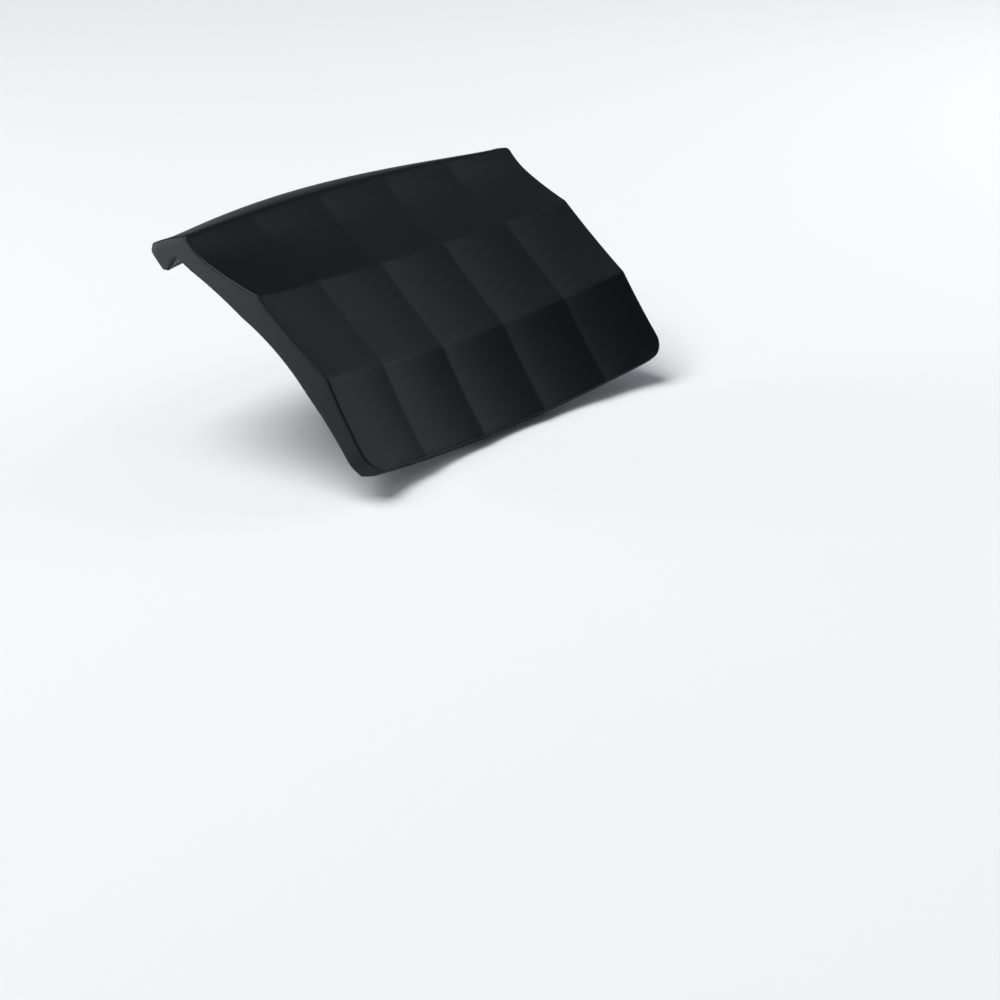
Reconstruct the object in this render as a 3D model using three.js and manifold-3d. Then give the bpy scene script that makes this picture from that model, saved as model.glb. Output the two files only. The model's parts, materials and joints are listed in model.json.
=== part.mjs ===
import * as THREE from "three";
import { mergeVertices } from "three/addons/utils/BufferGeometryUtils.js";
import Module from "manifold-3d";

// Bath pillow that hooks over the rim of a tub. Millimetres and degrees, +Z up, +X along the
// pad's width, +Y away from the bather. The origin is the middle of the flat seat under the
// hook, where the pad bears on the rim. The pad is bent round the tub's end wall: its section
// is drawn at mid-width, and its ends come forward and rise.

// Tiled face: rows from the ridge down, with their length and their angle below the horizontal
const padWidth = 298;
const tileColumns = 5;
const upperRowLength = 67;
const upperRowAngle = 31;
const middleRowLength = 73;
const middleRowAngle = 38.5;
const lowerRowLength = 67.6;
const lowerRowAngle = 53.4;

// Each tile is dished. The dip runs down a column line, the scallop across a tile's middle.
const upperDip = 3.6;
const middleDip = 1;
const lowerDip = 1.2;
const tileScallop = 1.5;
const ridgeScallop = 0.9;
const upperDeepestShare = 0.3;
const evenDeepestShare = 0.5;

// Thickness of the pad, at the creases, halfway between them and at its bottom edge
const ridgeThickness = 22.5;
const upperMidThickness = 20.4;
const firstCreaseThickness = 20.1;
const middleMidThickness = 17.2;
const secondCreaseThickness = 20.4;
const lowerMidThickness = 15.4;
const bottomThickness = 13.2;
const bottomFrontRadius = 2;
const bottomUnderRadius = 4;
const bottomCornerRadius = 15;

// Hook: a flat seat on the rim, a notch, and a lip that flares back from its tip
const seatAngle = 23.5;
const seatLength = 16.2;
const notchRadius = 2;
const lipLength = 11.2;
const lipAngle = 57;
const tipWidth = 4.8;
const lipFlareAngle = 45;
const hookBackLength = 21.6;
const hookBackBulge = 0.2;
const hookTopAngle = 14;
const hookTopCrown = 0.9;
const rearRadius = 4.6;
const shoulderAngle = 41;
const ridgeRound = 5;

// How far the ends come forward (sweep) and up (rise) from mid-width, at each line of the pad.
// The hook's top falls towards its ends and turns up again at their corners (upturn).
const rimBend = { sweep: 25.9, rise: 0, upturn: 0 };
const hookTopBend = { sweep: 25.9, rise: -5.5, upturn: 4.3 };
const seatFrontBend = { sweep: 22.7, rise: 0.5, upturn: 0 };
const ridgeBend = { sweep: 10.6, rise: -1.7, upturn: 0 };
const firstCreaseBend = { sweep: 11.5, rise: 8.8, upturn: 0 };
const secondCreaseBend = { sweep: 13.5, rise: 13.3, upturn: 0 };
const bottomBend = { sweep: 13.5, rise: 15.4, upturn: 0 };
const splayRadius = 909;

// Skins and clearances
const skin = 1.5;
const gap = 0.3;
const overrun = 1.5;
const solidTip = 4;

// Steel straps laid in the foam under the back skin, keyed by foam pegs through their holes
const strapWidth = 36;
const strapThickness = 1.2;
const strapSpacing = 150;
const strapLength = 118;
const strapHoleRadius = 5;
const strapHolePitch = 24;
const strapHoleCount = 4;
const strapFirstHole = 36;

// Suction cups in skinned wells under the second crease
const cupSpacing = 180;
const wellRadius = 20;
const wellDepth = 6.5;
const cupRadius = 18;
const cupProud = 1;
const cupLipWidth = 1.6;
const cupLipEdge = 0.6;
const cupDomeWeb = 2.2;
const cupShoulderRadius = 8;
const cupShoulderGap = 0.4;
const cupHollowHeight = 3.2;
const neckRadius = 3.4;
const headRadius = 5.2;
const headHeight = 2.4;

// Moulded socket that holds a cup's head
const socketMouthDepth = 1.6;
const socketHubRadius = 7.6;
const socketHubHeight = 4.4;
const socketFlangeRadius = 10;
const socketHeight = 6.2;
const headClearance = 0.5;

// Fineness of the faces
const outerStepsPerTile = 3;
const innerStepsPerTile = 2;
const roundSides = 24;
const holeSides = 12;
const curveSteps = 4;

// Where lines run across the pad, as shares of each stretch of its section
const lipShares = [0.4, 0.64, 0.82];
const topShares = [0.3, 0.5, 0.8];
const seatShares = [0.3, 0.6, 0.82];
const upperRowShares = [0.14, 0.3, 0.53, 0.77, 1];
const middleRowShares = [0.25, 0.5, 0.75, 1];
const lowerRowShares = [0.26, 0.52, 0.79, 0.88, 0.95];
const roundShares = [0, 0.5, 1];

const halfWidth = padWidth / 2;
const tileWidth = padWidth / tileColumns;
const flatHalfWidth = tileWidth / 2;
const { degToRad, lerp, clamp } = THREE.MathUtils;

// Points of the section are Vector2: x runs back from the bather, y runs up
const heading = (degrees, length = 1) =>
  new THREE.Vector2(Math.cos(degToRad(degrees)), Math.sin(degToRad(degrees))).multiplyScalar(length);
const walk = (from, degrees, length) => from.clone().add(heading(degrees, length));

// Where a line through p meets a line through q
function meet(p, pDegrees, q, qDegrees) {
  const along = heading(pDegrees);
  const other = heading(qDegrees);
  const apart = q.clone().sub(p);
  return p.clone().addScaledVector(along, apart.cross(other) / along.cross(other));
}

// Start, middle and end of the arc that rounds a corner between two headings
function roundCorner(corner, inDegrees, outDegrees, radius) {
  const turn = degToRad(outDegrees - inDegrees);
  const reach = radius * Math.tan(Math.abs(turn) / 2);
  const start = walk(corner, inDegrees, -reach);
  const side = Math.sign(turn) * 90;
  const centre = walk(start, inDegrees + side, radius);
  const middle = walk(centre, (inDegrees + outDegrees) / 2 - side, radius);
  return [start, middle, walk(corner, outDegrees, reach)];
}

function mixBend(a, b, share) {
  return {
    sweep: lerp(a.sweep, b.sweep, share),
    rise: lerp(a.rise, b.rise, share),
    upturn: lerp(a.upturn, b.upturn, share),
  };
}

// A station is one line across the pad: a point on its face, the point under it, the ways into
// the pad from both, the way the dish sinks, the bend of each point, and the dish's depth there.
function station(front, under, frontBend, underBend, dip = 0, scallop = 0) {
  const frontIn = under.clone().sub(front).normalize();
  const underIn = frontIn.clone().negate();
  return { front, under, frontIn, underIn, dishIn: frontIn, frontBend, underBend, dip, scallop };
}

function mixStations(a, b, share) {
  const mixed = {};
  for (const key of ["front", "under", "frontIn", "underIn", "dishIn"]) {
    mixed[key] = a[key].clone().lerp(b[key], share);
  }
  mixed.frontIn.normalize();
  mixed.underIn.normalize();
  mixed.dishIn.normalize();
  mixed.frontBend = mixBend(a.frontBend, b.frontBend, share);
  mixed.underBend = mixBend(a.underBend, b.underBend, share);
  mixed.dip = lerp(a.dip, b.dip, share);
  mixed.scallop = lerp(a.scallop, b.scallop, share);
  return mixed;
}

// Corners of the section at mid-width
const seatFront = heading(seatAngle, -seatLength / 2);
const seatBack = heading(seatAngle, seatLength / 2);
const notchReach = notchRadius * Math.tan(degToRad(seatAngle + lipAngle) / 2);
const notchCorner = walk(seatBack, seatAngle, notchReach);
const ridge = walk(seatFront, seatAngle + 90, ridgeThickness);
const firstCrease = walk(ridge, upperRowAngle, -upperRowLength);
const secondCrease = walk(firstCrease, middleRowAngle, -middleRowLength);
const bottomFront = walk(secondCrease, lowerRowAngle, -lowerRowLength);
const bottomUnder = walk(bottomFront, lowerRowAngle - 90, bottomThickness);
const tipInner = walk(notchCorner, -lipAngle, lipLength);
const tipOuter = walk(tipInner, 0, tipWidth);
const rearCorner = walk(tipOuter, lipFlareAngle, hookBackLength);
const ridgeCorner = meet(rearCorner, 180 - hookTopAngle, ridge, shoulderAngle);

// The hook, from the tip of its lip over the rear edge and the top to the ridge
function hookStations() {
  const rear = roundCorner(rearCorner, lipFlareAngle, 180 - hookTopAngle, rearRadius);
  const notch = roundCorner(notchCorner, 180 - lipAngle, 180 + seatAngle, notchRadius);
  const ridgeStart = walk(ridgeCorner, 180 - hookTopAngle, -ridgeRound);
  const ridgeMiddle = new THREE.QuadraticBezierCurve(ridgeStart, ridgeCorner, ridge).getPoint(0.5);
  const back = walk(tipOuter.clone().lerp(rear[0], 0.5), lipFlareAngle - 90, hookBackBulge);
  const lip = lipShares.map((share) => tipInner.clone().lerp(notch[0], share));
  const top = topShares.map((share) => {
    const crown = hookTopCrown * 4 * share * (1 - share);
    return walk(rear[2].clone().lerp(ridgeStart, share), 90 - hookTopAngle, crown);
  });
  const seat = seatShares.map((share) => seatBack.clone().lerp(seatFront, share));

  // The bend changes evenly up the back, along the top and along the seat
  const backBend = (point) =>
    mixBend(rimBend, hookTopBend, (point.y - tipOuter.y) / (rearCorner.y - tipOuter.y));
  const topBend = (point) =>
    mixBend(hookTopBend, ridgeBend, (rearCorner.x - point.x) / (rearCorner.x - ridge.x));
  const seatBend = (i) => mixBend(rimBend, seatFrontBend, seatShares[i]);
  return [
    station(tipOuter, tipInner, rimBend, rimBend),
    station(back, lip[0], backBend(back), rimBend),
    station(rear[0], lip[1], backBend(rear[0]), rimBend),
    station(rear[1], lip[2], backBend(rear[1]), rimBend),
    station(rear[2], notch[0], topBend(rear[2]), rimBend),
    station(top[0], notch[1], topBend(top[0]), rimBend),
    station(top[1], notch[2], topBend(top[1]), rimBend),
    station(top[2], seat[0], topBend(top[2]), seatBend(0)),
    station(ridgeStart, seat[1], topBend(ridgeStart), seatBend(1)),
    station(ridgeMiddle, seat[2], topBend(ridgeMiddle), seatBend(2), 0, ridgeScallop / 2),
    station(ridge, seatFront, ridgeBend, seatFrontBend, 0, ridgeScallop),
  ];
}

// The two curves that a row's dish follows: even, or deepest near its upper end
const dishAt = (share, deepest) =>
  share < deepest ? 1 - ((deepest - share) / deepest) ** 2 : 1 - ((share - deepest) / (1 - deepest)) ** 2;

// Thickness through three values, at a row's start, middle and end
const through = (a, b, c, share) =>
  a * (1 - share) * (1 - 2 * share) + 4 * b * share * (1 - share) + c * share * (2 * share - 1);

// A row's stations, without the one it starts from
function rowStations(row) {
  return row.shares.map((share) => {
    const front = row.from.clone().lerp(row.to, share);
    const lean = lerp(row.leanFrom, row.leanTo, share);
    const thickness = through(row.thickFrom, row.thickMid, row.thickTo, share);
    const under = walk(front, lean - 90, thickness);
    const frontBend = mixBend(row.bendFrom, row.bendTo, share);
    const underBend = mixBend(row.underBendFrom ?? row.bendFrom, row.bendTo, share);
    const dip = row.dip * dishAt(share, row.deepest);
    const scallop = lerp(row.scallopFrom ?? tileScallop, tileScallop, share);
    return station(front, under, frontBend, underBend, dip, scallop);
  });
}

const firstLean = (upperRowAngle + middleRowAngle) / 2;
const secondLean = (middleRowAngle + lowerRowAngle) / 2;
const down = lowerRowAngle + 180;
const frontRound = roundCorner(bottomFront, down, down + 90, bottomFrontRadius);
const underRound = roundCorner(bottomUnder, down, down - 90, bottomUnderRadius);

const upperRow = {
  shares: upperRowShares,
  from: ridge,
  to: firstCrease,
  leanFrom: seatAngle,
  leanTo: firstLean,
  thickFrom: ridgeThickness,
  thickMid: upperMidThickness,
  thickTo: firstCreaseThickness,
  bendFrom: ridgeBend,
  bendTo: firstCreaseBend,
  underBendFrom: seatFrontBend,
  dip: upperDip,
  deepest: upperDeepestShare,
  scallopFrom: ridgeScallop,
};
const middleRow = {
  shares: middleRowShares,
  from: firstCrease,
  to: secondCrease,
  leanFrom: firstLean,
  leanTo: secondLean,
  thickFrom: firstCreaseThickness,
  thickMid: middleMidThickness,
  thickTo: secondCreaseThickness,
  bendFrom: firstCreaseBend,
  bendTo: secondCreaseBend,
  dip: middleDip,
  deepest: evenDeepestShare,
};
const lowerRow = {
  shares: lowerRowShares,
  from: secondCrease,
  to: frontRound[0],
  leanFrom: secondLean,
  leanTo: lowerRowAngle,
  thickFrom: secondCreaseThickness,
  thickMid: lowerMidThickness,
  thickTo: bottomThickness,
  bendFrom: secondCreaseBend,
  bendTo: bottomBend,
  dip: lowerDip,
  deepest: evenDeepestShare,
};

// The flat bottom edge: the face and the underside both round into it
function bottomStations() {
  return roundShares.map((share, i) => {
    const made = station(frontRound[i], underRound[i], bottomBend, bottomBend, 0, tileScallop);
    made.frontIn = heading(lowerRowAngle - 90 * (1 - share));
    made.underIn = heading(lowerRowAngle + 90 * (1 - share));
    made.dishIn = heading(lowerRowAngle - 90);
    return made;
  });
}

const stations = [
  ...hookStations(),
  ...rowStations(upperRow),
  ...rowStations(middleRow),
  ...rowStations(lowerRow),
  ...bottomStations(),
];
const bottomIndex = stations.length - roundShares.length;
const secondCreaseIndex = bottomIndex - lowerRowShares.length - 1;

// Distance along the underside from the lip's tip to each station
const runs = [0];
stations.slice(1).forEach((next, i) => {
  runs.push(runs[i] + next.under.distanceTo(stations[i].under));
});

function stationAtRun(run) {
  const after = Math.max(1, runs.findIndex((r) => r >= run));
  const share = (run - runs[after - 1]) / (runs[after] - runs[after - 1]);
  return mixStations(stations[after - 1], stations[after], share);
}

// The stations between two distances along the underside, with one made at each end
function stationsBetween(startRun, endRun) {
  const inside = stations.filter((_, i) => runs[i] > startRun + gap && runs[i] < endRun - gap);
  return [stationAtRun(startRun), ...inside, stationAtRun(endRun)];
}

// A section point set out at a distance across the pad. The section planes fan out, and the
// pad has its stated width at the ends of the first crease.
const creaseEnd = new THREE.Vector2(
  firstCrease.x - firstCreaseBend.sweep,
  firstCrease.y + firstCreaseBend.rise,
);

function setOut(point, bend, across, bendShare) {
  const y = point.x - bend.sweep * bendShare;
  const z = point.y + bend.rise * bendShare + bend.upturn * bendShare ** 5;
  const fan = (y - creaseEnd.x - (z - creaseEnd.y)) / splayRadius;
  return new THREE.Vector3(across * (1 + fan), y, z);
}

function facePoint(at, column, depth) {
  const dish = at.dip + at.scallop * 4 * column.u * (1 - column.u);
  const point = at.front.clone().addScaledVector(at.dishIn, dish).addScaledVector(at.frontIn, depth);
  return setOut(point, at.frontBend, column.across(point), (column.across(point) / halfWidth) ** 2);
}

// The underside stays flat over the middle tile, so that it seats on the rim
function undersideShare(across) {
  return Math.max(0, across ** 2 - flatHalfWidth ** 2) / (halfWidth ** 2 - flatHalfWidth ** 2);
}

function undersidePoint(at, column, depth) {
  const point = at.under.clone().addScaledVector(at.underIn, depth);
  return setOut(point, at.underBend, column.across(point), undersideShare(column.across(point)));
}

// Half width at a section point, drawn in round the bottom corners
function halfWidthAt(point, inset) {
  const radius = bottomCornerRadius - inset;
  const end = walk(bottomFront, down, -inset);
  const fromEnd = clamp(end.sub(point).dot(heading(down)), 0, radius);
  return halfWidth - inset - radius + Math.sqrt(radius ** 2 - (radius - fromEnd) ** 2);
}

// Columns of a piece as wide as the pad: the end tiles are squeezed to the drawn-in outline
function padColumns(stepsPerTile, inset) {
  const count = tileColumns * stepsPerTile;
  const innerHalf = halfWidth - tileWidth;
  return Array.from({ length: count + 1 }, (_, i) => {
    const nominal = -halfWidth + (i * padWidth) / count;
    const beyond = Math.max(0, Math.abs(nominal) - innerHalf) / tileWidth;
    const across = (point) => {
      const outer = halfWidthAt(point, inset);
      return beyond ? Math.sign(nominal) * lerp(innerHalf, outer, beyond) : nominal;
    };
    return { u: (i % stepsPerTile) / stepsPerTile, across };
  });
}

// Columns of a narrow piece that covers a fixed stretch of the width
function stripColumns(from, to, steps) {
  return Array.from({ length: steps + 1 }, (_, i) => ({ u: 0, across: () => lerp(from, to, i / steps) }));
}

// A closed slab between two surfaces that share stations and columns. The first surface faces
// the bather, the second faces the tub.
function slab(rows, columns, upperPoint, lowerPoint) {
  const width = columns.length;
  const sheet = rows.length * width;
  const upper = rows.flatMap((row) => columns.map((column) => upperPoint(row, column)));
  const lower = rows.flatMap((row) => columns.map((column) => lowerPoint(row, column)));
  const faces = [];
  const quad = (a, b, c, d) => faces.push(a, b, c, a, c, d);
  for (let r = 0; r < rows.length - 1; r++) {
    for (let c = 0; c < width - 1; c++) {
      const a = r * width + c;
      quad(a, a + width, a + width + 1, a + 1);
      quad(sheet + a, sheet + a + 1, sheet + a + width + 1, sheet + a + width);
    }
    const left = r * width;
    const right = left + width - 1;
    quad(left, sheet + left, sheet + left + width, left + width);
    quad(right, right + width, sheet + right + width, sheet + right);
  }
  for (let c = 0; c < width - 1; c++) {
    const last = sheet - width + c;
    quad(c, c + 1, sheet + c + 1, sheet + c);
    quad(last, sheet + last, sheet + last + 1, last + 1);
  }
  const geometry = new THREE.BufferGeometry().setFromPoints([...upper, ...lower]);
  return geometry.setIndex(faces);
}

const wasm = await Module();
wasm.setup();

function solid(geometry) {
  const bare = geometry.clone();
  bare.deleteAttribute("normal");
  bare.deleteAttribute("uv");
  const merged = mergeVertices(bare);
  return new wasm.Manifold(
    new wasm.Mesh({
      numProp: 3,
      vertProperties: new Float32Array(merged.attributes.position.array),
      triVerts: new Uint32Array(merged.index.array),
    }),
  );
}

function geometryOf(made) {
  const mesh = made.getMesh();
  const geometry = new THREE.BufferGeometry();
  geometry.setAttribute("position", new THREE.BufferAttribute(mesh.vertProperties, 3));
  geometry.setIndex(new THREE.BufferAttribute(mesh.triVerts, 1));
  geometry.computeVertexNormals();
  return geometry;
}

// Frame on the underside: the y axis points into the pad, square to its surface there
function undersideFrame(run, across) {
  const at = (r, x) => undersidePoint(stationAtRun(r), { across: () => x }, 0);
  const along = at(run + gap, across).sub(at(run - gap, across));
  const sideways = at(run, across + gap).sub(at(run, across - gap));
  const inward = new THREE.Vector3().crossVectors(along, sideways).normalize();
  const turn = new THREE.Quaternion().setFromUnitVectors(new THREE.Vector3(0, 1, 0), inward);
  return { position: at(run, across), turn };
}

const inFrame = (geometry, frame) => {
  const matrix = new THREE.Matrix4().compose(frame.position, frame.turn, new THREE.Vector3(1, 1, 1));
  return geometry.clone().applyMatrix4(matrix);
};

// A body of revolution about the y axis, from pairs of radius and height listed upwards
// round the outside and closed along the axis or on itself
function turned(pairs, sides = roundSides) {
  return new THREE.LatheGeometry(pairs.map(([r, h]) => new THREE.Vector2(r, h)), sides);
}

const plug = (radius, low, high, sides) =>
  turned([[0, low], [radius, low], [radius, high], [0, high]], sides);

// Distances along the underside that bound the pieces
const partingTop = solidTip;
const partingBottom = runs[bottomIndex];
const padEnd = runs[runs.length - 1];
const wellRun = runs[secondCreaseIndex];
const sides = [
  { name: "left", sign: -1 },
  { name: "right", sign: 1 },
];

// The outside of the whole pad
function padOutline() {
  return slab(
    stations,
    padColumns(outerStepsPerTile, 0),
    (at, column) => facePoint(at, column, 0),
    (at, column) => undersidePoint(at, column, 0),
  );
}

// The space inside the outline, an inset in from it all round, with its own depth underneath
function padInside(rows, inset, underDepth) {
  return slab(
    rows,
    padColumns(innerStepsPerTile, inset),
    (at, column) => facePoint(at, column, inset),
    (at, column) => undersidePoint(at, column, underDepth),
  );
}

// A layer that follows the underside, between two depths into the pad
function underLayer(startRun, endRun, columns, shallow, deep) {
  return slab(
    stationsBetween(startRun, endRun),
    columns,
    (at, column) => undersidePoint(at, column, deep),
    (at, column) => undersidePoint(at, column, shallow),
  );
}

// The moulded skin of the tiled face, the hook and all four edges, open underneath
function makeTiledCover() {
  const open = padInside(stationsBetween(partingTop, partingBottom), skin, -overrun);
  const closed = padInside(stations.slice(bottomIndex - 1), skin, skin);
  return geometryOf(solid(padOutline()).subtract(solid(open)).subtract(solid(closed)));
}

function wellFrame(side) {
  return undersideFrame(wellRun, (side.sign * cupSpacing) / 2);
}

// The lining of a well: a wall and a floor with a hole for the socket's hub
function wellLining() {
  const wall = wellRadius + skin;
  const hub = socketHubRadius + gap;
  const floor = wellDepth + skin;
  return turned([
    [hub, wellDepth],
    [wellRadius, wellDepth],
    [wellRadius, -overrun],
    [wall, -overrun],
    [wall, floor],
    [hub, floor],
    [hub, wellDepth],
  ]);
}

// The skin of the underside, which dips into the two wells
function makeBackCover() {
  const columns = padColumns(innerStepsPerTile, skin + gap);
  const back = underLayer(partingTop + gap, partingBottom - gap, columns, 0, skin);
  const reach = wellRadius * 2;
  const under = solid(underLayer(wellRun - reach, wellRun + reach, columns, 0, wellDepth * 2));
  return geometryOf(
    sides.reduce((cover, side) => {
      const frame = wellFrame(side);
      const hole = solid(inFrame(plug(wellRadius, -overrun, wellDepth), frame));
      const lining = solid(inFrame(wellLining(), frame)).intersect(under);
      return cover.subtract(hole).add(lining);
    }, solid(back)),
  );
}

// Holes of a strap, as plugs of one radius square to the underside
function strapPlugs(side, radius) {
  return Array.from({ length: strapHoleCount }, (_, i) => {
    const frame = undersideFrame(strapFirstHole + i * strapHolePitch, (side.sign * strapSpacing) / 2);
    return solid(inFrame(plug(radius, -overrun, skin + strapThickness + overrun, holeSides), frame));
  });
}

// A strap's plate, or with a clearance the room that it takes
function strapPlate(side, clearance, shallow) {
  const middle = (side.sign * strapSpacing) / 2;
  const reach = strapWidth / 2 + clearance;
  const start = partingTop + skin;
  return solid(
    underLayer(
      start - clearance,
      start + strapLength + clearance,
      stripColumns(middle - reach, middle + reach, innerStepsPerTile),
      shallow,
      skin + gap + strapThickness + clearance,
    ),
  );
}

function makeStrap(side) {
  const plate = strapPlate(side, 0, skin + gap);
  return geometryOf(strapPlugs(side, strapHoleRadius).reduce((left, hole) => left.subtract(hole), plate));
}

// Outline of the socket, grown by a clearance for the room that it takes in the foam
function socketOutline(clearance) {
  const low = wellDepth;
  const flange = low + socketHubHeight;
  const top = low + socketHeight;
  return [
    [socketHubRadius + clearance, low - clearance],
    [socketHubRadius + clearance, flange - clearance],
    [socketFlangeRadius + clearance, flange - clearance],
    [socketFlangeRadius + clearance, top + clearance],
    [0, top + clearance],
  ];
}

function makeSocket() {
  const shelf = wellDepth + socketMouthDepth;
  const chamber = headRadius + headClearance;
  const roof = shelf + headHeight + 2 * headClearance;
  return turned([
    [0, roof],
    [chamber, roof],
    [chamber, shelf],
    [neckRadius + headClearance, shelf],
    [neckRadius + headClearance, wellDepth],
    ...socketOutline(0),
  ]);
}

// The foam body, with room for the straps, their pegs through the holes, and the sockets
function makeFoamCore() {
  const inset = skin + gap;
  const body = padInside(stationsBetween(partingTop + gap, padEnd), inset, inset);
  return geometryOf(
    sides.reduce((foam, side) => {
      const frame = wellFrame(side);
      const well = plug(wellRadius + inset, -overrun, wellDepth + inset);
      const socket = turned([[0, wellDepth - gap], ...socketOutline(gap)]);
      const room = strapPlugs(side, strapHoleRadius - gap).reduce(
        (left, peg) => left.subtract(peg),
        strapPlate(side, gap, skin - overrun),
      );
      return foam
        .subtract(solid(inFrame(well, frame)))
        .subtract(solid(inFrame(socket, frame)))
        .subtract(room);
    }, solid(body)),
  );
}

// A suction cup: mushroom head, neck, shoulder and thin dome down to a flat lip
function makeSuctionCup() {
  const lipHeight = -cupProud;
  const shoulder = wellDepth - cupShoulderGap;
  const shelf = wellDepth + socketMouthDepth + gap;
  const lipInner = cupRadius - cupLipWidth;
  const dome = new THREE.QuadraticBezierCurve(
    new THREE.Vector2(cupRadius, lipHeight + cupLipEdge),
    new THREE.Vector2((cupRadius + cupShoulderRadius) / 2, shoulder - cupDomeWeb),
    new THREE.Vector2(cupShoulderRadius, shoulder - cupDomeWeb / 2),
  );
  const hollow = new THREE.QuadraticBezierCurve(
    new THREE.Vector2(0, lipHeight + cupHollowHeight),
    new THREE.Vector2(lipInner / 2, lipHeight + cupHollowHeight),
    new THREE.Vector2(lipInner, lipHeight),
  );
  const points = (curve) => curve.getPoints(curveSteps).map((p) => [p.x, p.y]);
  return turned([
    ...points(hollow),
    [cupRadius, lipHeight],
    ...points(dome),
    [cupShoulderRadius, shoulder],
    [neckRadius, shoulder],
    [neckRadius, shelf],
    [headRadius, shelf],
    [headRadius, shelf + headHeight / 2],
    [neckRadius, shelf + headHeight],
    [0, shelf + headHeight],
  ]);
}

const coverFinish = { color: 0x1b1d20, roughness: 0.5, metalness: 0 };
const foamFinish = { color: 0x2c2d2f, roughness: 0.95, metalness: 0 };
const steelFinish = { color: 0xb8babc, roughness: 0.35, metalness: 1 };
const socketFinish = { color: 0x3a3c3f, roughness: 0.55, metalness: 0 };
const cupFinish = { color: 0x7f868c, roughness: 0.25, metalness: 0 };

function named(name, geometry, finish) {
  const mesh = new THREE.Mesh(geometry, new THREE.MeshStandardMaterial(finish));
  mesh.name = name;
  return mesh;
}

const pillow = new THREE.Group();
pillow.name = "bath_pillow";
pillow.add(named("tiled_cover", makeTiledCover(), coverFinish));
pillow.add(named("back_cover", makeBackCover(), coverFinish));
pillow.add(named("foam_core", makeFoamCore(), foamFinish));

for (const side of sides) {
  pillow.add(named(`hook_strap_${side.name}`, makeStrap(side), steelFinish));
  const frame = wellFrame(side);
  const well = new THREE.Group();
  well.position.copy(frame.position);
  well.quaternion.copy(frame.turn);
  well.add(named(`cup_socket_${side.name}`, makeSocket(), socketFinish));
  well.add(named(`suction_cup_${side.name}`, makeSuctionCup(), cupFinish));
  pillow.add(well);
}

export default pillow;
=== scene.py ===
import json
import math

import bmesh
import bpy
from mathutils import Matrix, Vector


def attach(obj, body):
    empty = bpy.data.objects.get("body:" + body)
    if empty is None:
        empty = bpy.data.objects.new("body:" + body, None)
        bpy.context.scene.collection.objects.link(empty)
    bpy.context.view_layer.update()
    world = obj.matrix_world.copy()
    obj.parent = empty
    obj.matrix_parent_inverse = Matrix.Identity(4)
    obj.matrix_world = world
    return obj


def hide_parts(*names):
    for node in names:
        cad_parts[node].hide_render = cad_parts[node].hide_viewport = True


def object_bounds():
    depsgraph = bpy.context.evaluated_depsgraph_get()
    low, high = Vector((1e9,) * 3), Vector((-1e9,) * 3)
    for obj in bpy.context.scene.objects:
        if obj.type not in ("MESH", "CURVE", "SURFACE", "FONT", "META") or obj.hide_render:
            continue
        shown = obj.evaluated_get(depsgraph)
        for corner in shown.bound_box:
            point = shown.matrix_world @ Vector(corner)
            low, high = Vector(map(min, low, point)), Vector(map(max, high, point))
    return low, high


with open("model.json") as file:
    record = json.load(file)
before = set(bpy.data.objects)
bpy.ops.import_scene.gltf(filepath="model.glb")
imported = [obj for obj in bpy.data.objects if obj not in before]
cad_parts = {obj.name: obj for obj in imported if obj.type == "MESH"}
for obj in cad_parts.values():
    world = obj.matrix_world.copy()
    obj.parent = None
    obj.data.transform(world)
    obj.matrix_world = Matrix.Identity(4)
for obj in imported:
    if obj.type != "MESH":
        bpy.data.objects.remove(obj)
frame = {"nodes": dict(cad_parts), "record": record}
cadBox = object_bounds()
print("frame loaded")

# Metres and degrees. The pad's section is drawn at mid-width: x runs back from the bather, y up.
# A bend is how far the ends come forward, how far they rise, and how far their corners turn up.
pad = {
    "width": 0.298,  # between the ends of the first crease
    "tileColumns": 5,
    "upperLength": 0.067, "upperAngle": 31,
    "middleLength": 0.073, "middleAngle": 38.5,
    "lowerLength": 0.0676, "lowerAngle": 53.4,
    "thickRidge": 0.0225, "thickUpper": 0.0204, "thickFirst": 0.0201,
    "thickMiddle": 0.0172, "thickSecond": 0.0204, "thickLower": 0.0154, "thickBottom": 0.0132,
    "frontRadius": 0.002, "underRadius": 0.004, "cornerRadius": 0.015,
    "upperDip": 0.0036, "middleDip": 0.001, "lowerDip": 0.0012,
    "tileScallop": 0.0015, "ridgeScallop": 0.0009,
    "upperDeepest": 0.3, "evenDeepest": 0.5,  # where along its row a dish is deepest
    "seatAngle": 23.5, "seatLength": 0.0162, "notchRadius": 0.002,
    "lipLength": 0.0112, "lipAngle": 57, "tipWidth": 0.0048,
    "flareAngle": 45, "backLength": 0.0216, "backBulge": 0.0002,
    "topAngle": 14, "topCrown": 0.0009, "rearRadius": 0.0046,
    "shoulderAngle": 41, "ridgeRound": 0.005,
    "rimBend": (0.0259, 0, 0),
    "hookTopBend": (0.0259, -0.0055, 0.0043),
    "seatFrontBend": (0.0227, 0.0005, 0),
    "ridgeBend": (0.0106, -0.0017, 0),
    "firstCreaseBend": (0.0115, 0.0088, 0),
    "secondCreaseBend": (0.0135, 0.0133, 0),
    "bottomBend": (0.0135, 0.0154, 0),
    "upturnPower": 5,  # how near the corner the upturn starts
    "splayRadius": 0.909,
}

halfWidth = pad["width"] / 2
tileWidth = pad["width"] / pad["tileColumns"]
innerHalf = halfWidth - tileWidth
flatHalf = tileWidth / 2


def heading(degrees, length=1.0):
    turn = math.radians(degrees)
    return Vector((math.cos(turn), math.sin(turn))) * length


def walk(point, degrees, length):
    return point + heading(degrees, length)


def cross2(a, b):
    return a.x * b.y - a.y * b.x


def meet(p, pDegrees, q, qDegrees):
    along = heading(pDegrees)
    other = heading(qDegrees)
    return p + along * (cross2(q - p, other) / cross2(along, other))


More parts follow.
